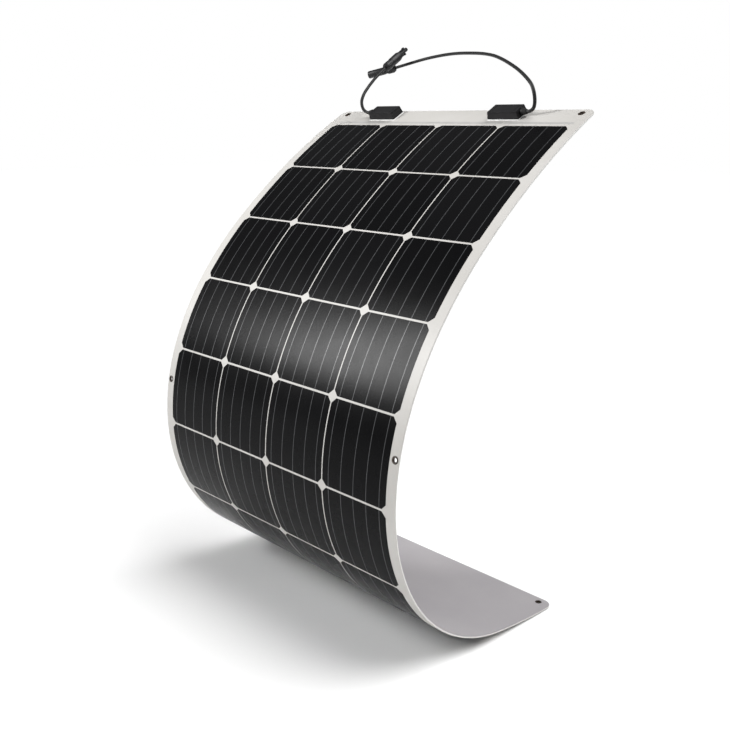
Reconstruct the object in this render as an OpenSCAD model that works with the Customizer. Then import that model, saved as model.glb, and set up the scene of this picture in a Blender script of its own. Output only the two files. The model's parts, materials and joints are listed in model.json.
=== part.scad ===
// Flexible solar sheet: a thin laminate of 36 square cells, curled, and held by its top eyelets.
// Frame: +X across the sheet, +Z up, cells on the outside of the curl, facing -Y at mid height.
// Along the sheet, s is the arc length on the front surface, counted from the first row boundary.

/* [Sheet] */
// Width of the sheet
sheet_w = 540; // [530:1:560]
// Radius of the sheet's rounded corners
corner_r = 15; // [5:1:18]
// Depth of the clear front film
film_t = 0.4; // [0.3:0.05:0.5]
// Depth of the encapsulant that holds the cells
encapsulant_t = 0.9; // [0.85:0.05:1.2]
// Depth of the stiff white rear sheet
rear_t = 1.2; // [0.8:0.1:2]
// Border beyond the cells at the top end
top_border = 48; // [46:1:60]
// Border beyond the cells at the foot end
foot_border = 20; // [20:1:40]

/* [Cells] */
// Side of one square cell
cell = 125; // [120:0.5:125]
// Cut at each corner of a cell, along its sides
cell_cut = 7.6; // [4:0.2:14]
// Gap between two columns of cells
column_gap = 2; // [1.5:0.5:4]
// Gap between two rows of cells
row_gap = 3; // [3:0.5:6]
// Thickness of a cell
cell_t = 0.3; // [0.2:0.05:0.3]
// Width of one tinned ribbon
ribbon_w = 1.2; // [0.8:0.1:2]
// Thickness of one tinned ribbon
ribbon_t = 0.08; // [0.08:0.01:0.12]
// Width of a bus ribbon
bus_w = 5; // [3:0.5:6]

/* [Eyelets] */
// Radius of the hole through an eyelet
eyelet_hole_r = 3.25; // [3:0.25:4]
// Radius of an eyelet's flange
eyelet_flange_r = 5.75; // [5.5:0.25:7]
// Thickness of an eyelet's flange
eyelet_flange_t = 0.6; // [0.4:0.1:1]

/* [Junction boxes] */
// Length of a junction box at its foot
box_l = 60; // [56:1:64]
// Width of a junction box at its foot
box_w = 27; // [25:1:28]
// Height of a closed junction box
box_h = 13; // [12:0.5:16]
// Height of the joint between base and lid
box_split = 9.5; // [9.5:0.25:10]
// Wall of base and lid
box_wall = 1.8; // [1.5:0.1:2]

/* [Leads] */
// Diameter of the two leads
lead_d = 5.5; // [4:0.5:5.5]

/* [Hidden] */
COLUMNS = 4;
ROWS = 9;
// Angle that each row of cells curls through, from the top row to the foot row
ROW_BEND = [6, 6, 11, 16, 21, 26, 28, 27, 7];
// Half of the slit between two rows, where the sheet flexes
slit = 0.25;
sheet_t = film_t + encapsulant_t + rear_t;
pitch_x = cell + column_gap;
pitch_s = cell + row_gap;
head_s = -(top_border - row_gap / 2);
foot_s = pitch_s + foot_border - row_gap / 2;
// Depths of the layers below the front surface
cell_d = film_t + 0.3;
back_d = cell_d + cell_t;
rear_d = film_t + encapsulant_t;
// Solder between a ribbon and a cell
solder_t = 0.03;
ribbon_room = ribbon_t + solder_t;
ribbon_play = 0.02;
pocket_play = 0.5;
bay_step = 0.04;
RIBBONS = [-0.4, -0.2, 0, 0.2, 0.4] * cell;
COLUMN_X = [for (c = [0:COLUMNS - 1]) (c - (COLUMNS - 1) / 2) * pitch_x];
RIBBON_X = [for (x = COLUMN_X, r = RIBBONS) x + r];

// Bus ribbons: distance of their middle from the cells' row boundary, and the runs across the sheet
bus_off = 7;
bus_t = 0.2;
TOP_BUS = [[-245, -129], [-125, 125], [129, 254]];
FOOT_BUS = [[-243, -12], [12, 243]];

// Eyelets: row, place along that row and distance from the middle line
EYELETS_TOP = [0, -35, 250];
EYELETS_MIDDLE = [4, 55, 262.5];
EYELETS_BOTTOM = [8, 134, 250];
eyelet_wall = 0.5;
eyelet_play = 0.1;

// Junction boxes on the top border: the line they stand on, and each box's middle and outer side
box_s = -28.5;
BOXES = [[-145, -1], [120, 1]];
box_taper = 2.5;
box_taper_w = 1.5;
gland_z = 7;
gland_l = 9;

// Curl: heading 0 is upright with the cells facing -Y, heading 90 lies on the floor
foot_heading = 90;

function row_r(i) = pitch_s / (ROW_BEND[i] * PI / 180);
function front_normal(h) = [-cos(h), -sin(h)];
function downwards(h) = [sin(h), -cos(h)];
function end_heading(i) = i == ROWS - 1
    ? foot_heading - ROW_BEND[i] * (foot_s - pitch_s) / pitch_s
    : start_heading(i + 1);
function start_heading(i) = end_heading(i) - ROW_BEND[i];
function heading(i, s) = start_heading(i) + ROW_BEND[i] * s / pitch_s;
function raw_centre(i) = i == ROWS - 1
    ? [0, row_r(i)]
    : raw_centre(i + 1) + (row_r(i + 1) - row_r(i)) * front_normal(start_heading(i + 1));
function raw_point(i, s) = raw_centre(i) + row_r(i) * front_normal(heading(i, s));

// The origin is midway between the two top eyelets, in the middle of the sheet's thickness
SHIFT = raw_point(EYELETS_TOP[0], EYELETS_TOP[1])
    - sheet_t / 2 * front_normal(heading(EYELETS_TOP[0], EYELETS_TOP[1]));

function centre(i) = raw_centre(i) - SHIFT;
function surface_point(i, s) = raw_point(i, s) - SHIFT;

// Routes of the leads on the top border's tangent plane: across, beyond box_s, above the sheet
RIGHT_ROUTE = [
    [141, 0, 7], [150, 0, 7], [159, 0, 7], [166.5, 0, 8.5], [173, 0, 13], [177, 0.5, 20.5],
    [178.5, 2, 29], [177, 5.5, 37.5], [171, 12, 44.5], [159.5, 21, 49], [143, 34, 51],
    [118, 54, 50.5], [86, 79, 47.5], [50, 106, 43.5], [12, 131, 39.5], [-28, 151, 35],
    [-69, 167, 30], [-106, 178, 26], [-140, 185, 22], [-173, 188, 18], [-203, 185.5, 15],
    [-234, 178, 12], [-262, 168, 10]
];
LEFT_ROUTE = [
    [-166, 0, 7], [-175, 0, 7], [-184, 0, 7], [-191.5, 0, 8.5], [-197.5, 1, 13],
    [-201, 4, 19.5], [-203.5, 9.5, 25.5], [-205.5, 18, 30], [-208.5, 28, 32.5], [-212, 39, 33.5],
    [-216, 50, 34], [-220, 61, 34], [-224, 72, 34], [-227.5, 84, 34], [-231, 96, 33.5],
    [-234.5, 108.5, 33], [-238, 121, 32]
];
lead_sides = 10;
ring_step = 12;
// Each connector: where its nut starts, and its direction from the nut
SOCKET_AT = [[-262, 168, 10], [-50, -25]];
PLUG_AT = [[-238, 121, 32], [-11, 78]];
nut_l = 15;
nut_r = 8;
nut_play = 0.5;

function unit(v) = v / norm(v);
function last(a) = a[len(a) - 1];
function spline(a, b, c, d, t) = 0.5 * (2 * b + (c - a) * t + (2 * a - 5 * b + 4 * c - d) * t * t
    + (3 * b - a - 3 * c + d) * t * t * t);
function steps(a, b) = max(1, round(norm(b - a) / ring_step));
function before(p, i) = i > 0 ? p[i - 1] : 2 * p[0] - p[1];
function after(p, i) = i < len(p) ? p[i] : 2 * last(p) - p[len(p) - 2];
function smooth_route(p) = [
    for (i = [0:len(p) - 2], k = [0:steps(p[i], p[i + 1]) - 1])
        spline(before(p, i), p[i], p[i + 1], after(p, i + 2), k / steps(p[i], p[i + 1])),
    last(p)
];
function along(q) = [for (i = [0:len(q) - 1]) unit(after(q, i + 1) - before(q, i))];
function across(d, n, i = 0) = i == len(d)
    ? []
    : let (m = unit(n - (n * d[i]) * d[i])) concat([m], across(d, m, i + 1));

ROW_NUMBERS = [1, 2, 3, 4, 5, 6, 7, 8, 9];

// Start and end of the laminate on row i
function row_start(i) = i == 0 ? head_s : slit;
function row_end(i) = i == ROWS - 1 ? foot_s : pitch_s - slit;

// Curved strips on row i: depths, places along the row, and the middles and width across the sheet
module strips(i, d0, d1, s0, s1, middles, width) {
    turn = ROW_BEND[i] / pitch_s;
    translate([0, centre(i)[0], centre(i)[1]])
        rotate([start_heading(i) - 90, 0, 0])
        rotate([0, 90, 0])
        rotate([0, 0, s0 * turn])
        rotate_extrude(angle = (s1 - s0) * turn, $fn = 720)
        for (x = middles)
            translate([row_r(i) - d1, x - width / 2]) square([d1 - d0, width]);
}

// Children stand on the front surface: +Y runs towards the top end and +Z points out of the cells
module on_surface(i, s) {
    p = surface_point(i, s);
    translate([0, p[0], p[1]]) rotate([90 + heading(i, s), 0, 0]) children();
}

module both_sides(x) {
    for (side = [-1, 1]) translate([side * x, 0, 0]) children();
}

// What is cut away at the two rounded corners of one end; outward is 1 at the top end.
// The arcs cross the sheet's edges at a slight angle, because an edge can't end on a tangent.
module end_corners(i, s, outward) {
    inset = corner_r - 0.1;
    on_surface(i, s + outward * inset)
        for (side = [-1, 1])
            translate([side * (sheet_w / 2 - inset), 0, -sheet_t - 1])
            linear_extrude(sheet_t + 2)
            difference() {
                scale([side, outward]) square(corner_r + 1);
                circle(corner_r, $fn = 64);
            }
}

module eyelet_cuts(place) {
    on_surface(place[0], place[1])
        both_sides(place[2])
        translate([0, 0, -sheet_t - 1])
        cylinder(r = eyelet_hole_r + eyelet_wall + eyelet_play, h = sheet_t + 2, $fn = 64);
}

// One whole layer of the laminate on row i
module layer(i, d0, d1) {
    difference() {
        strips(i, d0, d1, row_start(i), row_end(i), [0], sheet_w);
        if (i == 0) end_corners(i, head_s, 1);
        if (i == ROWS - 1) end_corners(i, foot_s, -1);
        for (place = [EYELETS_TOP, EYELETS_MIDDLE, EYELETS_BOTTOM])
            if (place[0] == i) eyelet_cuts(place);
    }
}

module cell_outline(half_s) {
    cut_s = cell_cut * half_s * 2 / cell;
    a = cell / 2;
    polygon([
        [a - cell_cut, half_s], [a, half_s - cut_s], [a, cut_s - half_s], [a - cell_cut, -half_s],
        [cell_cut - a, -half_s], [-a, cut_s - half_s], [-a, half_s - cut_s], [cell_cut - a, half_s]
    ]);
}

// The cells of row i between two depths
module cell_slabs(i, d0, d1) {
    half_s = row_r(i) * sin(ROW_BEND[i] * cell / pitch_s / 2);
    intersection() {
        strips(i, d0, d1, slit, pitch_s - slit, [0], sheet_w);
        on_surface(i, pitch_s / 2)
            translate([0, 0, -cell / 4])
            linear_extrude(cell / 2)
            for (x = COLUMN_X) translate([x, 0]) cell_outline(half_s);
    }
}

module cells(i) {
    color([0.05, 0.05, 0.07]) cell_slabs(i, cell_d, back_d);
}

// Where the ribbons of row i start and end: its front ones run on over a bus ribbon, or into the
// gap, where they step down to the backs of the next row's cells
function front_start(i) = i == 0 ? -bus_off - bus_w / 2 : row_gap / 2;
function front_end(i) = i == ROWS - 1 ? pitch_s + bus_off + bus_w / 2 : pitch_s - slit;
function rear_start(i) = i == 0 ? row_gap / 2 : slit;
rear_end = pitch_s - row_gap / 2;

module ribbons(i) {
    front_d = cell_d - solder_t;
    color([0.62, 0.63, 0.65]) {
        strips(i, front_d - ribbon_t, front_d, front_start(i), front_end(i), RIBBON_X, ribbon_w);
        strips(i, back_d + solder_t, back_d + ribbon_room, rear_start(i), rear_end,
            RIBBON_X, ribbon_w);
    }
}

// Pockets round row i's cells with room for the ribbons. Each opens at its ends into a narrower,
// slightly deeper bay where the ribbons run on to the next row or to the bus ribbons
module cell_pockets(i) {
    front = cell_d - ribbon_room - ribbon_play;
    back = back_d + ribbon_room + ribbon_play;
    cell_slabs(i, front, back);
    bays(i, front, back, i == 0 ? -bus_off : 0, row_gap);
    bays(i, front, back, pitch_s - row_gap, i == ROWS - 1 ? pitch_s + bus_off : pitch_s);
    if (i == 0) bus_pocket(i, front, back, -bus_off, TOP_BUS);
    if (i == ROWS - 1) bus_pocket(i, front, back, pitch_s + bus_off, FOOT_BUS);
}

module bays(i, front, back, s0, s1) {
    strips(i, front - bay_step, back + bay_step, s0, s1, COLUMN_X, cell - 2 * cell_cut - 4);
}

module bus_pocket(i, front, back, s, runs) {
    start = runs[0][0] - pocket_play;
    end = last(runs)[1] + pocket_play;
    half = bus_w / 2 + pocket_play;
    step = 2 * bay_step;
    strips(i, front - step, back + step, s - half, s + half, [(start + end) / 2], end - start);
}

module bus_runs(i, s, runs) {
    color([0.55, 0.56, 0.58])
        for (run = runs)
            strips(i, cell_d, cell_d + bus_t, s - bus_w / 2, s + bus_w / 2,
                [(run[0] + run[1]) / 2], run[1] - run[0]);
}

module top_bus_ribbons() {
    bus_runs(0, -bus_off, TOP_BUS);
}

module bottom_bus_ribbons() {
    bus_runs(ROWS - 1, pitch_s + bus_off, FOOT_BUS);
}

module front_film(i) {
    color([0.82, 0.85, 0.88, 0.35]) layer(i, 0, film_t);
}

module rear_sheet(i) {
    color([0.86, 0.85, 0.83]) layer(i, rear_d, sheet_t);
}

module encapsulant(i) {
    color([0.9, 0.9, 0.86, 0.5])
        difference() {
            layer(i, film_t, rear_d);
            cell_pockets(i);
        }
}

// A pressed eyelet: flange on the cells' side, barrel through the sheet, rolled rim behind
module eyelet() {
    barrel = eyelet_hole_r + eyelet_wall;
    t = eyelet_flange_t;
    back = -sheet_t - eyelet_play;
    rim_r = eyelet_flange_r - 0.5;
    rotate_extrude($fn = 96)
        polygon([
            [eyelet_hole_r, back - t], [rim_r - 0.2, back - t], [rim_r, back - t + 0.2],
            [rim_r, back], [barrel, back], [barrel, 0], [eyelet_flange_r, 0],
            [eyelet_flange_r, t - 0.3], [eyelet_flange_r - 0.4, t], [eyelet_hole_r, t]
        ]);
}

module eyelets(place) {
    color([0.1, 0.1, 0.1])
        on_surface(place[0], place[1]) both_sides(place[2]) eyelet();
}

module on_border() {
    on_surface(0, box_s) children();
}

// Children point their +X towards the outer end of each junction box
module at_boxes() {
    on_border()
        for (b = BOXES)
            translate([b[0], 0, 0]) scale([b[1], 1, 1]) children();
}

// The boxes' outer form is drafted on all four sides; inset makes it smaller all round
module box_form(z0, z1, inset = 0) {
    l = box_l / 2 - inset;
    w = box_w / 2 - inset;
    intersection() {
        rotate([90, 0, 0])
            linear_extrude(box_w + 2, center = true)
            polygon([[-l, 0], [l, 0], [l - box_taper, box_h], [box_taper - l, box_h]]);
        rotate([90, 0, 90])
            linear_extrude(box_l + 2, center = true)
            polygon([[-w, 0], [w, 0], [w - box_taper_w, box_h], [box_taper_w - w, box_h]]);
        translate([-box_l, -box_w, z0]) cube([box_l * 2, box_w * 2, z1 - z0]);
    }
}

gland_neck_r = 4.2;
gland_flange_r = 5.6;
gland_flange_t = 1.5;

// Place of a box's outer wall at the height of the gland
wall_x = box_l / 2 - box_taper * gland_z / box_h;

// Hole for the strain relief, shared by base and lid
module gland_hole() {
    translate([0, 0, gland_z]) rotate([0, 90, 0])
        cylinder(r = gland_neck_r + 0.1, h = box_l, $fn = 48);
}

module junction_bases() {
    color([0.08, 0.08, 0.08])
        at_boxes()
        difference() {
            box_form(0, box_split);
            translate([0, 0, box_wall]) box_form(0, box_split, box_wall);
            gland_hole();
        }
}

module junction_lids() {
    groove = 0.6;
    color([0.1, 0.1, 0.1])
        at_boxes()
        difference() {
            box_form(box_split, box_h);
            box_form(0, box_h - box_wall, box_wall);
            gland_hole();
            for (side = [-1, 1])
                translate([side * (box_l / 2 - 9) - groove / 2, -box_w / 2, box_h - groove])
                cube([groove, box_w, groove * 2]);
        }
}

clip_x = 18;
clip_w = 8;
clip_t = 1;
post_t = 2;
floor_z = box_wall + 0.1;

// Two brass clips in each box: the outer one holds the lead's end
module terminal_clips() {
    color([0.8, 0.65, 0.35])
        at_boxes()
        for (side = [-1, 1]) {
            translate([side * (clip_x - 5) - 7, -clip_w / 2, floor_z]) cube([14, clip_w, clip_t]);
            translate([side * clip_x - post_t / 2, -clip_w / 2, floor_z + clip_t])
                cube([post_t, clip_w, gland_z + 1 - floor_z]);
        }
}

// One axial bypass diode in each box, between the two posts
module bypass_diodes() {
    reach = clip_x - post_t / 2;
    color([0.15, 0.15, 0.16])
        at_boxes()
        translate([0, 0, gland_z - 1])
        rotate([0, 90, 0]) {
            cylinder(r = 2.7, h = 9, center = true, $fn = 48);
            cylinder(r = 0.6, h = reach * 2, center = true, $fn = 24);
        }
}

// Sleeve that holds the lead in the box's end wall: neck in the wall, flange and cone outside
module strain_reliefs() {
    bore_r = lead_d / 2 + 0.15;
    inner = wall_x - box_wall - 0.4;
    outer = box_l / 2 + 0.2;
    tip = box_l / 2 + gland_l;
    color([0.09, 0.09, 0.09])
        at_boxes()
        translate([0, 0, gland_z])
        rotate([0, 90, 0])
        rotate_extrude($fn = 64)
        polygon([
            [bore_r, inner], [gland_neck_r, inner], [gland_neck_r, outer],
            [gland_flange_r, outer], [gland_flange_r, outer + gland_flange_t],
            [bore_r + 1, tip], [bore_r, tip]
        ]);
}

// A lead is one round tube swept along its smoothed route
module lead(route, side) {
    q = smooth_route(route);
    d = along(q);
    m = across(d, side);
    count = len(q);
    rings = [
        for (i = [0:count - 1], k = [0:lead_sides - 1])
            q[i] + lead_d / 2 * (cos(360 * k / lead_sides) * m[i]
                + sin(360 * k / lead_sides) * cross(d[i], m[i]))
    ];
    walls = [
        for (i = [0:count - 2], k = [0:lead_sides - 1])
            let (k1 = (k + 1) % lead_sides, a = i * lead_sides)
            [a + k, a + lead_sides + k, a + lead_sides + k1, a + k1]
    ];
    start_cap = [for (k = [0:lead_sides - 1]) k];
    end_cap = [for (k = [lead_sides - 1:-1:0]) (count - 1) * lead_sides + k];
    color([0.07, 0.07, 0.07])
        on_border() polyhedron(concat(rings), concat(walls, [start_cap, end_cap]), convexity = 8);
}

module left_lead() {
    lead(LEFT_ROUTE, [0, 1, 0]);
}

module right_lead() {
    lead(RIGHT_ROUTE, [0, 1, 0]);
}

// Children start at the connector's nut and run along +Z
module at_connector(place) {
    on_border()
        translate(place[0])
        rotate([0, 0, atan2(place[1][1], place[1][0])])
        rotate([0, 90, 0])
        translate([0, 0, nut_play])
        children();
}

// Cap nut with a ring of grip flutes
module nut() {
    flutes = 8;
    flute_z = 6;
    difference() {
        rotate_extrude($fn = 64)
            polygon([[0, 0], [nut_r - 2, 0], [nut_r, 4], [nut_r, nut_l], [0, nut_l]]);
        for (k = [0:flutes - 1])
            rotate([0, 0, 360 * (k + 0.5) / flutes])
            translate([nut_r + 0.4, 0, flute_z])
            cylinder(r = 1.4, h = nut_l, $fn = 24);
    }
}

module connector_nuts() {
    color([0.08, 0.08, 0.08]) {
        at_connector(SOCKET_AT) nut();
        at_connector(PLUG_AT) nut();
    }
}

socket_l = 56;
socket_r = 7;
socket_bore_r = 4.2;
socket_bore_l = 20;

// Socket housing: an open mouth at the far end, with two latch windows
module socket_connector() {
    start = nut_l + nut_play;
    color([0.09, 0.09, 0.09])
        at_connector(SOCKET_AT)
        difference() {
            rotate_extrude($fn = 64)
                polygon([
                    [0, start], [nut_r - 1.5, start], [nut_r - 1.5, start + 5], [socket_r, start + 7],
                    [socket_r, socket_l - 1], [socket_r - 0.5, socket_l], [socket_bore_r, socket_l],
                    [socket_bore_r, socket_l - socket_bore_l], [0, socket_l - socket_bore_l]
                ]);
            for (side = [-1, 1])
                translate([side * socket_r - 1, -2.5, socket_l - 13]) cube([2, 5, 8]);
        }
}

plug_l = 78;
plug_r = 8.2;
barrel_r = 3.6;
barrel_l = 24;
tine_l = 16;

// Plug housing: a waisted body, a pin barrel and two latch tines beside it
module plug_connector() {
    start = nut_l + nut_play;
    shoulder = plug_l - barrel_l;
    color([0.09, 0.09, 0.09])
        at_connector(PLUG_AT) {
            rotate_extrude($fn = 64)
                polygon([
                    [0, start], [nut_r - 1.5, start], [nut_r - 1, start + 3], [plug_r, start + 8],
                    [plug_r, shoulder - 8], [plug_r - 2, shoulder], [barrel_r, shoulder],
                    [barrel_r, plug_l - 1], [barrel_r - 0.8, plug_l], [0, plug_l]
                ]);
            for (side = [-1, 1]) {
                translate([side * 5 - 0.9, -2, shoulder - 2]) cube([1.8, 4, tine_l + 2]);
                translate([side * 5.6 - 1.5, -2, shoulder + tine_l - 4]) cube([3, 4, 4]);
            }
        }
}

for (n = ROW_NUMBERS) {
    rear_sheet(n - 1);
    encapsulant(n - 1);
    cells(n - 1);
    ribbons(n - 1);
    front_film(n - 1);
}
top_bus_ribbons();
bottom_bus_ribbons();
eyelets(EYELETS_TOP);  // eyelets_top
eyelets(EYELETS_MIDDLE);  // eyelets_middle
eyelets(EYELETS_BOTTOM);  // eyelets_bottom
junction_bases();
junction_lids();
bypass_diodes();
terminal_clips();
strain_reliefs();
left_lead();
right_lead();
socket_connector();
plug_connector();
connector_nuts();
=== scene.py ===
"""Flexible solar sheet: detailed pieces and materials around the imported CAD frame."""

import json
import math
import random

import bmesh
import bpy
from mathutils import Matrix, Vector


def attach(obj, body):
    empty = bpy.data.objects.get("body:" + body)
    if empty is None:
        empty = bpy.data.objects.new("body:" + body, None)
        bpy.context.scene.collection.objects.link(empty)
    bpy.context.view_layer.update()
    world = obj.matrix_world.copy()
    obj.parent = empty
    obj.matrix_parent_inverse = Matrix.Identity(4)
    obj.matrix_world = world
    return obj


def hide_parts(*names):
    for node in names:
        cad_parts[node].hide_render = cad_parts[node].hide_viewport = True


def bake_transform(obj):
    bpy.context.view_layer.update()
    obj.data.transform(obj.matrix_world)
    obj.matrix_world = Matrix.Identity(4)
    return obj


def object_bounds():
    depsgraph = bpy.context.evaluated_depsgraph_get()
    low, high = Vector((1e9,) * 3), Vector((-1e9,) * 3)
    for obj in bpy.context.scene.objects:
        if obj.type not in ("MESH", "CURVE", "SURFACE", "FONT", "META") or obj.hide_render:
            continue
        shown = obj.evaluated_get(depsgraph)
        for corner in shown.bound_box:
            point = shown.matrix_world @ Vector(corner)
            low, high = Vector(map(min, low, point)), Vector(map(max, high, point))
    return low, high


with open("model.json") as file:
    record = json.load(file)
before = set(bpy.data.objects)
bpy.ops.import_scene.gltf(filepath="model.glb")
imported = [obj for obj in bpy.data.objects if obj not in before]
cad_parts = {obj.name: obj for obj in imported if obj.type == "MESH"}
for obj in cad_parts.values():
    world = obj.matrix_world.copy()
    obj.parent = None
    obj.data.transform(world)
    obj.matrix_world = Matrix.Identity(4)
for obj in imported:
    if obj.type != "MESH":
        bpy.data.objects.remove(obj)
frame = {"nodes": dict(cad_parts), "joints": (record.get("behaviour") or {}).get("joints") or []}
CAD_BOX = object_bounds()
nodes = frame["nodes"]
MM = 0.001

# ---------------------------------------------------------------- the sheet's curl, as in the CAD
# Along the sheet, s is the arc length on the front surface, counted from the first row boundary.
ROWS = 9
ROW_BEND = [math.radians(a) for a in (6, 6, 11, 16, 21, 26, 28, 27, 7)]
CELL = 125 * MM
COLUMN_GAP = 2 * MM
ROW_GAP = 3 * MM
PITCH = CELL + ROW_GAP
CELL_CUT = 7.6 * MM
SHEET_W = 540 * MM
SHEET_T = 2.5 * MM
CORNER_R = 15 * MM
TOP_BORDER = 48 * MM
FOOT_BORDER = 20 * MM
HEAD_END = -(TOP_BORDER - ROW_GAP / 2)
FOOT_END = ROWS * PITCH + FOOT_BORDER - ROW_GAP / 2
FOOT_HEADING = math.radians(90)
COLUMN_X = [(c - 1.5) * (CELL + COLUMN_GAP) for c in range(4)]
RIBBON_X = [x + f * CELL for x in COLUMN_X for f in (-0.4, -0.2, 0, 0.2, 0.4)]
RIBBON_W = 1.2 * MM
BOX_S = -28.5 * MM


def start_heading(row):
    """The sheet's heading where a row starts, worked back from the foot."""
    foot_turn = ROW_BEND[-1] * (FOOT_END - ROWS * PITCH) / PITCH
    return FOOT_HEADING - foot_turn - sum(ROW_BEND[row:])


def outward(heading):
    """The front surface's normal; heading 0 is upright with the cells facing -Y."""
    return Vector((0, -math.cos(heading), -math.sin(heading)))


def row_radius(row):
    return PITCH / ROW_BEND[row]


def row_centre(row):
    """Centre of a row's curl, from the hinge at its end, or at its start for the last row."""
    last = row == ROWS - 1
    hinge = frame["joints"][row - 1 if last else row]
    turn = start_heading(row) + (0 if last else ROW_BEND[row])
    return Vector(hinge["pos_m"]) - row_radius(row) * outward(turn)


CENTRES = [row_centre(row) for row in range(ROWS)]


def row_at(s):
    """The row that s is in; the borders belong to the first and the last."""
    return min(max(int(s // PITCH), 0), ROWS - 1)


def heading_at(s):
    row = row_at(s)
    return start_heading(row) + ROW_BEND[row] * (s / PITCH - row)


def at(x, s, up=0.0):
    """A point of the sheet: x across, s along the front surface from the first row, up above it."""
    row = row_at(s)
    p = CENTRES[row] + (row_radius(row) + up) * outward(heading_at(s))
    return Vector((x, p.y, p.z))


def upright(x, s, up=0.0):
    """Matrix that stands a piece on the sheet: +Y towards the top end, +Z out of the front."""
    n = outward(heading_at(s))
    across = Vector((1, 0, 0))
    m = Matrix((across, n.cross(across), n)).transposed().to_4x4()
    m.translation = at(x, s, up)
    return m


# ---------------------------------------------------------------- camera
CAMERA_PLACE = (1.019, -1.17962, -0.01766)
PAN, TIP, ROLL = math.radians(45.99), math.radians(75.19), math.radians(0.345)

camera_data = bpy.data.cameras.new("camera")
camera_data.sensor_width = 36
camera_data.lens = 44.71
camera_data.clip_start = 0.05
camera = bpy.data.objects.new("camera", camera_data)
bpy.context.scene.collection.objects.link(camera)
turn = Matrix.Rotation(PAN, 4, "Z") @ Matrix.Rotation(TIP, 4, "X") @ Matrix.Rotation(ROLL, 4, "Z")
camera.matrix_world = Matrix.Translation(CAMERA_PLACE) @ turn
bpy.context.scene.camera = camera


# ---------------------------------------------------------------- materials
def new_material(name):
    """(material, its node tree, its Principled shader)"""
    mat = bpy.data.materials.new(name)
    mat.use_nodes = True
    return mat, mat.node_tree, mat.node_tree.nodes["Principled BSDF"]


def noise(tree, scale, detail):
    """A noise texture's value, in the object's own coordinates."""
    node = tree.nodes.new("ShaderNodeTexNoise")
    node.inputs["Scale"].default_value = scale
    node.inputs["Detail"].default_value = detail
    node.inputs["Roughness"].default_value = 0.55
    place = tree.nodes.new("ShaderNodeTexCoord")
    tree.links.new(place.outputs["Object"], node.inputs["Vector"])
    return node.outputs["Fac"]


def ramp(tree, source, low, high):
    """A value turned into a colour; low and high are (value, colour) pairs."""
    node = tree.nodes.new("ShaderNodeValToRGB")
    for element, (place, colour) in zip(node.color_ramp.elements, (low, high)):
        element.position, element.color = place, (*colour, 1)
    tree.links.new(source, node.inputs["Fac"])
    return node.outputs["Color"]


def spread(tree, source, low, high, from_low=0.3, from_high=0.7):
    """A value mapped from one range, by default the middle of a noise's, to another."""
    node = tree.nodes.new("ShaderNodeMapRange")
    node.inputs["From Min"].default_value = from_low
    node.inputs["From Max"].default_value = from_high
    node.inputs["To Min"].default_value = low
    node.inputs["To Max"].default_value = high
    tree.links.new(source, node.inputs["Value"])
    return node.outputs["Result"]


def bump(tree, shader, height, distance):
    """A fine relief, distance deep, from a height between 0 and 1."""
    node = tree.nodes.new("ShaderNodeBump")
    node.inputs["Distance"].default_value = distance
    tree.links.new(height, node.inputs["Height"])
    tree.links.new(node.outputs["Normal"], shader.inputs["Normal"])


def mottled(name, dark, light, scale, rough, grain_scale, grain_depth, specular=0.5):
    """A surface with slow colour variation, uneven gloss and a fine grain."""
    mat, tree, shader = new_material(name)
    slow = noise(tree, scale, 5)
    tree.links.new(ramp(tree, slow, (0.3, dark), (0.7, light)), shader.inputs["Base Color"])
    fine = noise(tree, grain_scale, 3)
    tree.links.new(spread(tree, fine, rough - 0.05, rough + 0.05), shader.inputs["Roughness"])
    shader.inputs["Specular IOR Level"].default_value = specular
    bump(tree, shader, fine, grain_depth)
    return mat


BORDER = mottled(
    "border_film", (0.46, 0.447, 0.425), (0.51, 0.498, 0.478), scale=9, rough=0.42,
    grain_scale=900, grain_depth=0.006 * MM, specular=0.3,
)
EDGE = mottled(
    "cut_edge", (0.62, 0.61, 0.59), (0.72, 0.71, 0.69), scale=40, rough=0.6,
    grain_scale=2500, grain_depth=0.01 * MM, specular=0.3,
)
REAR = mottled(
    "rear_sheet", (0.350, 0.335, 0.348), (0.382, 0.366, 0.376), scale=7, rough=0.62,
    grain_scale=1600, grain_depth=0.04 * MM, specular=0.2,
)
# Painted shade: the bus ribbons are drawn in a grey darker than the border film, to stand for the
# thin grey shadow line along them.
BUS = mottled(
    "bus_ribbon", (0.36, 0.355, 0.345), (0.42, 0.415, 0.405), scale=60, rough=0.35,
    grain_scale=1200, grain_depth=0.02 * MM, specular=0.4,
)
BRONZE = mottled(
    "eyelet_bronze", (0.012, 0.007, 0.004), (0.040, 0.022, 0.012), scale=300, rough=0.38,
    grain_scale=3000, grain_depth=0.01 * MM,
)
MOULDED = mottled(
    "moulded_black", (0.006, 0.006, 0.007), (0.012, 0.012, 0.013), scale=90, rough=0.42,
    grain_scale=2600, grain_depth=0.008 * MM, specular=0.35,
)
RUBBER = mottled(
    "seal_rubber", (0.008, 0.008, 0.008), (0.014, 0.014, 0.014), scale=120, rough=0.6,
    grain_scale=2200, grain_depth=0.006 * MM, specular=0.3,
)
JACKET = mottled(
    "lead_jacket", (0.008, 0.008, 0.008), (0.014, 0.014, 0.015), scale=150, rough=0.5,
    grain_scale=1800, grain_depth=0.003 * MM, specular=0.3,
)
SATIN = mottled(
    "connector_black", (0.008, 0.008, 0.009), (0.015, 0.015, 0.016), scale=130, rough=0.45,
    grain_scale=2800, grain_depth=0.004 * MM, specular=0.35,
)
BRASS = mottled(
    "clip_brass", (0.55, 0.40, 0.17), (0.68, 0.51, 0.24), scale=200, rough=0.35,
    grain_scale=2500, grain_depth=0.01 * MM,
)
BRASS.node_tree.nodes["Principled BSDF"].inputs["Metallic"].default_value = 1.0
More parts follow.
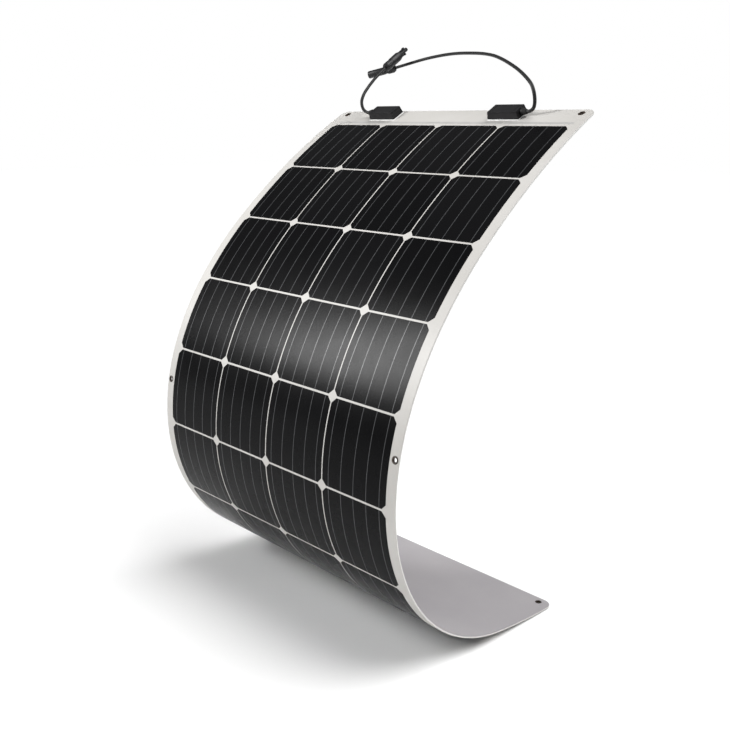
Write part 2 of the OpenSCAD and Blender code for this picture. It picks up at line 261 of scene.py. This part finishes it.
DIODE = mottled(
    "diode_body", (0.015, 0.015, 0.016), (0.03, 0.03, 0.03), scale=200, rough=0.45,
    grain_scale=2500, grain_depth=0.02 * MM,
)
SEALANT = mottled(
    "white_sealant", (0.78, 0.78, 0.77), (0.88, 0.88, 0.87), scale=60, rough=0.4,
    grain_scale=900, grain_depth=0.02 * MM, specular=0.4,
)

FINGER_PITCH = 1.6 * MM


def finger_lines(tree):
    """1 on the fine printed lines across a cell, and 0 between them."""
    place = tree.nodes.new("ShaderNodeUVMap")
    place.uv_map = "cell_uv"
    split = tree.nodes.new("ShaderNodeSeparateXYZ")
    tree.links.new(place.outputs["UV"], split.inputs["Vector"])
    wave = tree.nodes.new("ShaderNodeMath")
    wave.operation = "PINGPONG"
    wave.inputs[1].default_value = FINGER_PITCH / 2
    tree.links.new(split.outputs["Y"], wave.inputs[0])
    return spread(tree, wave.outputs[0], 1.0, 0.0, 0.0, FINGER_PITCH / 8)


def cell_material():
    """Near-black silicon under the clear film, with each cell's own tone and faint fingers."""
    mat, tree, shader = new_material("solar_cell")
    tone = tree.nodes.new("ShaderNodeAttribute")
    tone.attribute_name = "tone"
    darkest, lightest = (0.0022, 0.0022, 0.0025), (0.0040, 0.0040, 0.0044)
    shade = ramp(tree, tone.outputs["Fac"], (0.0, darkest), (1.0, lightest))
    faint = tree.nodes.new("ShaderNodeMath")
    faint.operation = "MULTIPLY"
    faint.inputs[1].default_value = 0.35
    tree.links.new(finger_lines(tree), faint.inputs[0])
    mix = tree.nodes.new("ShaderNodeMix")
    mix.data_type = "RGBA"
    mix.inputs["B"].default_value = (0.016, 0.016, 0.018, 1)
    tree.links.new(faint.outputs[0], mix.inputs["Factor"])
    tree.links.new(shade, mix.inputs["A"])
    tree.links.new(mix.outputs["Result"], shader.inputs["Base Color"])
    tree.links.new(spread(tree, noise(tree, 30, 4), 0.25, 0.29), shader.inputs["Roughness"])
    shader.inputs["Specular IOR Level"].default_value = 0.055
    bump(tree, shader, noise(tree, 700, 2), 0.02 * MM)
    return mat


def ribbon_material():
    """Tinned copper, dull under the clear film."""
    mat, tree, shader = new_material("ribbon")
    slow = noise(tree, 180, 3)
    dull, bright = (0.040, 0.041, 0.044), (0.062, 0.063, 0.066)
    tree.links.new(ramp(tree, slow, (0.3, dull), (0.7, bright)), shader.inputs["Base Color"])
    shader.inputs["Specular IOR Level"].default_value = 0.2
    shader.inputs["Roughness"].default_value = 0.3
    bump(tree, shader, slow, 0.02 * MM)
    return mat


CELL_BLACK = cell_material()
RIBBON = ribbon_material()


# ---------------------------------------------------------------- building meshes
def add_object(name, mesh, slot, *materials):
    for mat in materials:
        mesh.materials.append(mat)
    piece = bpy.data.objects.new(name, mesh)
    bpy.context.scene.collection.objects.link(piece)
    return piece


def smooth_by_angle(bm, degrees):
    for face in bm.faces:
        face.smooth = True
    for edge in bm.edges:
        if len(edge.link_faces) == 2:
            edge.smooth = edge.calc_face_angle(0) < math.radians(degrees)


def finish_mesh(name, bm, angle=35):
    bmesh.ops.recalc_face_normals(bm, faces=bm.faces)
    smooth_by_angle(bm, angle)
    mesh = bpy.data.meshes.new(name)
    bm.to_mesh(mesh)
    bm.free()
    return mesh


def loft(bm, rings, materials=None, closed=True):
    """Joins rings of points into a skin; materials gives each side's material index."""
    made = [[bm.verts.new(p) for p in ring] for ring in rings]
    count = len(rings[0])
    for a, b in zip(made, made[1:]):
        for k in range(count):
            face = bm.faces.new((a[k], a[(k + 1) % count], b[(k + 1) % count], b[k]))
            face.material_index = materials[k] if materials else 0
    if closed:
        bm.faces.new(made[0][::-1])
        bm.faces.new(made[-1])


def steps(start, end, step=4 * MM):
    """Evenly spaced stations from start to end, no further apart than step."""
    count = max(1, math.ceil((end - start) / step))
    return [start + (end - start) * k / count for k in range(count + 1)]


def half_width(s):
    """Half of the sheet's width at s: it narrows round the rounded corners."""
    inset = min(s - HEAD_END, FOOT_END - s)
    if inset >= CORNER_R:
        return SHEET_W / 2
    return SHEET_W / 2 - CORNER_R + math.sqrt(max(0, CORNER_R**2 - (CORNER_R - inset) ** 2))


def corner_steps(start, end):
    """Stations along the sheet, close together round the rounded corners."""
    arc = [CORNER_R * (1 - math.cos(math.radians(a))) for a in range(0, 91, 10)]
    marks = set(steps(start, end))
    if start == HEAD_END:
        marks = {m for m in marks if m > start + CORNER_R} | {start + a for a in arc}
    if end == FOOT_END:
        marks = {m for m in marks if m < end - CORNER_R} | {end - a for a in arc}
    return sorted(marks)


# Eyelets: place along the sheet and distance from the middle line
EYELETS = {
    "top": (-35 * MM, 250 * MM),
    "middle": (4 * PITCH + 55 * MM, 262.5 * MM),
    "bottom": (8 * PITCH + 134 * MM, 250 * MM),
}
EYELET_STRIP = {"top": 0, "middle": 4, "bottom": ROWS}  # the strip of laminate each pair is in
EYELET_WALL_R = 3.75 * MM
EDGE_ROUND = 0.35 * MM
SIDE_STRIP_X = 232 * MM  # where the faces along the sides, which take the eyelets, begin


def cut_holes(piece, s, x):
    """Cuts the two eyelet holes out of a laminate piece."""
    bm = bmesh.new()
    for side in (-1, 1):
        place = upright(side * x, s, -SHEET_T / 2)
        bmesh.ops.create_cone(
            bm, cap_ends=True, segments=48, radius1=EYELET_WALL_R, radius2=EYELET_WALL_R,
            depth=3 * SHEET_T, matrix=place,
        )
    mesh = bpy.data.meshes.new("cutter")
    bm.to_mesh(mesh)
    bm.free()
    cutter = bpy.data.objects.new("cutter", mesh)
    bpy.context.scene.collection.objects.link(cutter)
    cut = piece.modifiers.new("holes", "BOOLEAN")
    cut.object = cutter
    cut.solver = "EXACT"
    bpy.context.view_layer.update()
    shown = piece.evaluated_get(bpy.context.evaluated_depsgraph_get())
    cut_mesh = bpy.data.meshes.new_from_object(shown)
    piece.modifiers.clear()
    piece.data = cut_mesh
    bpy.data.objects.remove(cutter)


def laminate(name, start, end):
    """One length of the laminate: film on the front, cut edges, and the rear sheet."""
    bm = bmesh.new()
    rings = []
    for s in corner_steps(start, end):
        w = half_width(s)
        a = min(SIDE_STRIP_X, w - 2 * EDGE_ROUND)
        r, t = EDGE_ROUND, SHEET_T
        section = [
            (-w + r, 0), (-a, 0), (a, 0), (w - r, 0), (w, -r), (w, r - t), (w - r, -t),
            (a, -t), (-a, -t), (r - w, -t), (-w, r - t), (-w, -r),
        ]
        rings.append([at(x, s, up) for x, up in section])
    front, edge, rear = 0, 1, 2
    loft(bm, rings, [front] * 4 + [edge] + [rear] * 5 + [edge, front])
    for face in bm.faces:
        if len(face.verts) > 4:
            face.material_index = edge
    return add_object(name, finish_mesh(name, bm), "front_film", BORDER, EDGE, REAR)


def cell_half_width(s_in_row):
    """Half of a cell's width, less where its corners are cut."""
    inset = min(s_in_row - ROW_GAP / 2, PITCH - ROW_GAP / 2 - s_in_row)
    return CELL / 2 - max(0.0, CELL_CUT - inset)


# Heights of the tops above the laminate's front, how deep the undersides are sunk into it, and how
# far the ribbons end inside the cells' edges
CELL_UP = 0.05 * MM
RIBBON_UP = 0.09 * MM
SUNK = -0.1 * MM
RIBBON_END = 0.5 * MM


def cells(name, start, end):
    """The cells, or halves of cells, between two places along the sheet."""
    bm = bmesh.new()
    tone = bm.verts.layers.float.new("tone")
    uv = bm.loops.layers.uv.new("cell_uv")
    places = {}
    for row in range(ROWS):
        low = max(start, row * PITCH + ROW_GAP / 2)
        high = min(end, (row + 1) * PITCH - ROW_GAP / 2)
        if high - low < MM:
            continue
        bends = [row * PITCH + ROW_GAP / 2 + CELL_CUT, (row + 1) * PITCH - ROW_GAP / 2 - CELL_CUT]
        marks = sorted({low, high, *[b for b in bends if low < b < high]})
        stations = [s for a, b in zip(marks, marks[1:]) for s in steps(a, b)[:-1]] + [high]
        for column, x in enumerate(COLUMN_X):
            value = random.Random(100 * row + column).random()
            rings = []
            for s in stations:
                w = cell_half_width(s - row * PITCH)
                section = [(x - w, CELL_UP), (x + w, CELL_UP), (x + w, SUNK), (x - w, SUNK)]
                rings.append([at(u, s, up) for u, up in section])
                for ring_point, (u, up) in zip(rings[-1], section):
                    places[tuple(round(c, 7) for c in ring_point)] = (u, s)
            before = len(bm.verts)
            loft(bm, rings)
            bm.verts.ensure_lookup_table()
            for vert in bm.verts[before:]:
                vert[tone] = value
    for face in bm.faces:
        for loop in face.loops:
            key = tuple(round(c, 7) for c in loop.vert.co)
            if key in places:
                loop[uv].uv = places[key]
    return add_object(name, finish_mesh(name, bm), "solar_cell", CELL_BLACK)


def band(bm, x, width, start, end, top, step=4 * MM):
    """A flat ribbon along the sheet."""
    low, high = x - width / 2, x + width / 2
    rings = [
        [at(low, s, top), at(high, s, top), at(high, s, SUNK), at(low, s, SUNK)]
        for s in steps(start, end, step)
    ]
    loft(bm, rings)


# The bus ribbons: distance from the first and last row boundary, width, gap between their tabs and
# the cells, and their runs across the sheet in mm
BUS_OFF = 7 * MM
BUS_W = 5 * MM
TAB_END = 0.2 * MM
TOP_BUS_RUNS = ((-245, -129), (-125, 125), (129, 254))
FOOT_BUS_RUNS = ((-243, -12), (12, 243))


def ribbons(name, start, end):
    """The ribbons over the cells between two places along the sheet."""
    bm = bmesh.new()
    for row in range(ROWS):
        low = max(start, row * PITCH + ROW_GAP / 2 + RIBBON_END)
        high = min(end, (row + 1) * PITCH - ROW_GAP / 2 - RIBBON_END)
        if high - low < MM:
            continue
        for x in RIBBON_X:
            band(bm, x, RIBBON_W, low, high, RIBBON_UP)
    return add_object(name, finish_mesh(name, bm), "ribbon", RIBBON)


def bus_bands(name, s, runs, tabs):
    """The wide ribbons across one end of the sheet, and the tabs that join the cells' to them."""
    bm = bmesh.new()
    for low, high in runs:
        middle, width = (low + high) / 2 * MM, (high - low) * MM
        band(bm, middle, width, s - BUS_W / 2, s + BUS_W / 2, CELL_UP, 2 * MM)
    for x in RIBBON_X:
        band(bm, x, RIBBON_W, *tabs, CELL_UP / 2, 2 * MM)
    return add_object(name, finish_mesh(name, bm), "ribbon", BUS)


# ---------------------------------------------------------------- the leads
BORDER_PLACE = upright(0, BOX_S)


def on_border(across, beyond, above):
    """A point near the top border: across, beyond the boxes' line, above the sheet, in mm."""
    return BORDER_PLACE @ Vector((across * MM, beyond * MM, above * MM))


# Points along the middle of each lead, as on_border takes them
RIGHT_ROUTE = (
    (141, 0, 7), (150, 0, 7), (159, 0, 7), (166.5, 0, 8.5), (173, 0, 13), (177, 0.5, 20.5),
    (178.5, 2, 29), (177, 5.5, 37.5), (171, 12, 44.5), (159.5, 21, 49), (143, 34, 51),
    (118, 54, 50.5), (86, 79, 47.5), (50, 106, 43.5), (12, 131, 39.5), (-28, 151, 35),
    (-69, 167, 30), (-106, 178, 26), (-140, 185, 22), (-173, 188, 18), (-203, 185.5, 15),
    (-234, 178, 12), (-262, 168, 10),
)
LEFT_ROUTE = (
    (-166, 0, 7), (-175, 0, 7), (-184, 0, 7), (-191.5, 0, 8.5), (-197.5, 1, 13),
    (-201, 4, 19.5), (-203.5, 9.5, 25.5), (-205.5, 18, 30), (-208.5, 28, 32.5), (-212, 39, 33.5),
    (-216, 50, 34), (-220, 61, 34), (-224, 72, 34), (-227.5, 84, 34), (-231, 96, 33.5),
    (-234.5, 108.5, 33), (-238, 121, 32),
)
LEAD_D = 5.5 * MM


def lead(name, route):
    """A round lead along a smooth curve through its route's points."""
    points = [on_border(*p) for p in route]
    ends = [2 * points[0] - points[1], *points, 2 * points[-1] - points[-2]]
    data = bpy.data.curves.new(name, "CURVE")
    data.dimensions = "3D"
    data.bevel_depth = LEAD_D / 2
    data.bevel_resolution = 6
    data.resolution_u = 10
    data.use_fill_caps = True
    line = data.splines.new("BEZIER")
    line.bezier_points.add(len(points) - 1)
    for point, before, here, after in zip(line.bezier_points, ends, ends[1:], ends[2:]):
        point.co = here
        point.handle_left = here - (after - before) / 6
        point.handle_right = here + (after - before) / 6
    data.materials.append(JACKET)
    piece = bpy.data.objects.new(name, data)
    bpy.context.scene.collection.objects.link(piece)
    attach(piece, "row_1")
    return piece


right_lead = lead("lead_right", RIGHT_ROUTE)
left_lead = lead("lead_left", LEFT_ROUTE)
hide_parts("right_lead")
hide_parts("left_lead")

# ---------------------------------------------------------------- the laminate, strip by strip
MIDDLES = [(row + 0.5) * PITCH for row in range(ROWS)]


def place_strip(piece, index):
    """Strip 0 rides on the first row and strip 9 on the last; the others lie between two rows and
    get their placing baked into the mesh.
    """
    if index == 0:
        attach(piece, "row_1")
    elif index == ROWS:
        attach(piece, f"row_{ROWS}")
    else:
        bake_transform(piece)


def strip_name(index):
    return "top" if index == 0 else "foot" if index == ROWS else f"{index}_{index + 1}"


for index in range(ROWS + 1):
    low = HEAD_END if index == 0 else MIDDLES[index - 1]
    high = FOOT_END if index == ROWS else MIDDLES[index]
    tag = strip_name(index)
    sheet = laminate(f"laminate_{tag}", low, high)
    for s, x in EYELETS.values():
        if low < s < high:
            cut_holes(sheet, s, x)
    dark = cells(f"cells_{tag}", low, high)
    lines = ribbons(f"ribbons_{tag}", low, high)
    for piece in (sheet, dark, lines):
        place_strip(piece, index)
    if index > 0:
        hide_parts(f"rear_sheet_{index}", f"encapsulant_{index}", f"front_film_{index}")
        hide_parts(f"cells_{index}")
        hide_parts(f"ribbons_{index}")

top_tabs = (-BUS_OFF, ROW_GAP / 2 - TAB_END)
top_bus = bus_bands("bus_top", -BUS_OFF, TOP_BUS_RUNS, top_tabs)
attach(top_bus, "row_1")
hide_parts("top_bus_ribbons")
foot_s = ROWS * PITCH + BUS_OFF
foot_tabs = (ROWS * PITCH - ROW_GAP / 2 + TAB_END, foot_s)
foot_bus = bus_bands("bus_foot", foot_s, FOOT_BUS_RUNS, foot_tabs)
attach(foot_bus, "row_9")
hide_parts("bottom_bus_ribbons")


# ---------------------------------------------------------------- eyelets
def lathe(bm, profile, place, segments=48):
    """Turns a closed (radius, height) profile about a placed +Z axis."""
    made = []
    for k in range(segments):
        a = 2 * math.pi * k / segments
        ring = [place @ Vector((r * math.cos(a), r * math.sin(a), z)) for r, z in profile]
        made.append([bm.verts.new(p) for p in ring])
    count = len(profile)
    for k in range(segments):
        a, b = made[k], made[(k + 1) % segments]
        for j in range(count):
            bm.faces.new((a[j], b[j], b[(j + 1) % count], a[(j + 1) % count]))


def eyelet_profile():
    """Front flange with a raised, rounded ring, barrel, and the rolled rim behind, in metres."""
    front = [
        (3.25, 0.2), (3.4, 0.45), (3.8, 0.6), (4.5, 0.58), (5.1, 0.45), (5.5, 0.28), (5.72, 0.06),
        (5.65, -0.02), (3.75, -0.02),
    ]
    back = -SHEET_T / MM
    rear = [
        (3.75, back + 0.02), (5.05, back + 0.02), (5.2, back - 0.1), (5.1, back - 0.42),
        (4.8, back - 0.6), (4.3, back - 0.66), (3.75, back - 0.6), (3.35, back - 0.35),
        (3.25, back - 0.1),
    ]
    return [(r * MM, z * MM) for r, z in front + rear]


for label, (s, x) in EYELETS.items():
    bm = bmesh.new()
    for side in (-1, 1):
        lathe(bm, eyelet_profile(), upright(side * x, s))
    name = f"eyelets_{label}_rings"
    rings = add_object(name, finish_mesh(name, bm, 50), "eyelet", BRONZE)
    place_strip(rings, EYELET_STRIP[label])
    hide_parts(f"eyelets_{label}")


# ---------------------------------------------------------------- sealant round the boxes
BOX_L, BOX_W = 60 * MM, 27 * MM
BOX_X = (-145 * MM, 120 * MM)
BEAD_R = 1.1 * MM
BEAD_SIDES = 10


def bead_path(points=8):
    """Points round a box's foot with rounded corners, and the outward direction at each."""
    path = []
    for corner in range(4):
        cx = (BOX_L / 2 - BEAD_R) * (1 if corner in (0, 3) else -1)
        cy = (BOX_W / 2 - BEAD_R) * (1 if corner in (0, 1) else -1)
        for k in range(points):
            a = math.pi / 2 * (corner + k / (points - 1))
            out = Vector((math.cos(a), math.sin(a), 0))
            path.append((Vector((cx, cy, 0)) + BEAD_R * out, out))
    return path


def sealant_beads():
    """A round bead of sealant along the foot of both boxes."""
    bm = bmesh.new()
    for x in BOX_X:
        place = upright(x, BOX_S)
        rings = []
        for foot, out in bead_path():
            ring = []
            for k in range(BEAD_SIDES):
                a = 2 * math.pi * k / BEAD_SIDES
                side = out * (BEAD_R * math.cos(a))
                ring.append(place @ (foot + side + Vector((0, 0, BEAD_R * math.sin(a)))))
            rings.append(ring)
        loft(bm, [*rings, rings[0]], closed=False)
    bmesh.ops.remove_doubles(bm, verts=bm.verts, dist=0.001 * MM)
    piece = add_object("box_sealant", finish_mesh("box_sealant", bm, 60), "box", SEALANT)
    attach(piece, "row_1")


sealant_beads()


# ---------------------------------------------------------------- carried-over CAD parts
def finish_node(node, mat, bevel):
    """Gives a CAD part its material, and rounds its sharp edges by bevel mm."""
    piece = nodes[node]
    for slot in piece.material_slots:
        slot.material = mat
    if not piece.material_slots:
        piece.data.materials.append(mat)
    weld = piece.modifiers.new("weld", "WELD")
    weld.merge_threshold = 0.01 * MM
    if bevel:
        soft = piece.modifiers.new("soft edges", "BEVEL")
        soft.width = bevel * MM
        soft.segments = 3
        soft.limit_method = "ANGLE"
        soft.angle_limit = math.radians(40)


finish_node("junction_bases", MOULDED, 0.5)
finish_node("junction_lids", MOULDED, 0.5)
finish_node("strain_reliefs", RUBBER, 0.2)
finish_node("socket_connector", SATIN, 0.3)
finish_node("plug_connector", SATIN, 0.3)
finish_node("connector_nuts", SATIN, 0.2)
finish_node("terminal_clips", BRASS, 0)
finish_node("bypass_diodes", DIODE, 0)

# ---------------------------------------------------------------- floor and light
FLOOR_Z = CAD_BOX[0][2] - 1.5 * MM
FLOOR_HALF = 14
ROOM_LIGHT = 0.16
MIDDLE = Vector((0.05, -0.25, -0.25))


def floor():
    """A wide sheet of pale paper just below the part."""
    bm = bmesh.new()
    bmesh.ops.create_grid(bm, x_segments=1, y_segments=1, size=FLOOR_HALF)
    mesh = bpy.data.meshes.new("floor")
    bm.to_mesh(mesh)
    bm.free()
    piece = bpy.data.objects.new("floor", mesh)
    piece.location = (0, 0, FLOOR_Z)
    bpy.context.scene.collection.objects.link(piece)
    mat, _, shader = new_material("floor_paper")
    shader.inputs["Base Color"].default_value = (0.96, 0.96, 0.96, 1)
    shader.inputs["Roughness"].default_value = 0.9
    shader.inputs["Specular IOR Level"].default_value = 0.1
    mesh.materials.append(mat)


def softbox(place, aim, width, height, power, fan):
    """An area light with a grid: fan is the angle its light spreads over, in degrees."""
    data = bpy.data.lights.new("front_box", "AREA")
    data.shape = "RECTANGLE"
    data.size, data.size_y = width, height
    data.energy = power
    data.spread = math.radians(fan)
    lamp = bpy.data.objects.new("front_box", data)
    lamp.location = place
    lamp.rotation_euler = (aim - place).to_track_quat("-Z", "Y").to_euler()
    bpy.context.scene.collection.objects.link(lamp)


def studio_world():
    """An even white room, dimmer as a light source than as the backdrop."""
    world = bpy.data.worlds.new("studio")
    world.use_nodes = True
    tree = world.node_tree
    tree.nodes["Background"].inputs["Color"].default_value = (1, 1, 1, 1)
    seen = tree.nodes.new("ShaderNodeLightPath")
    level = tree.nodes.new("ShaderNodeMapRange")
    level.inputs["To Min"].default_value = ROOM_LIGHT
    level.inputs["To Max"].default_value = 1.0
    tree.links.new(seen.outputs["Is Camera Ray"], level.inputs["Value"])
    tree.links.new(level.outputs["Result"], tree.nodes["Background"].inputs["Strength"])
    bpy.context.scene.world = world


def soft_sun(direction, strength, spread_angle):
    """Overhead light from a very wide source, so that its shadows are soft."""
    data = bpy.data.lights.new("overhead", "SUN")
    data.energy = strength
    data.angle = math.radians(spread_angle)
    lamp = bpy.data.objects.new("overhead", data)
    lamp.rotation_euler = Vector(direction).to_track_quat("-Z", "Y").to_euler()
    bpy.context.scene.collection.objects.link(lamp)


floor()
studio_world()
soft_sun((-0.42, -0.27, -1), strength=3.25, spread_angle=50)
softbox(
    MIDDLE + 2.5 * Vector((-0.60, -0.585, 0.44)), MIDDLE + Vector((0, 0, 0.1)),
    width=0.48, height=1.15, power=6.3, fan=50,
)
bpy.context.scene.view_settings.view_transform = "Standard"
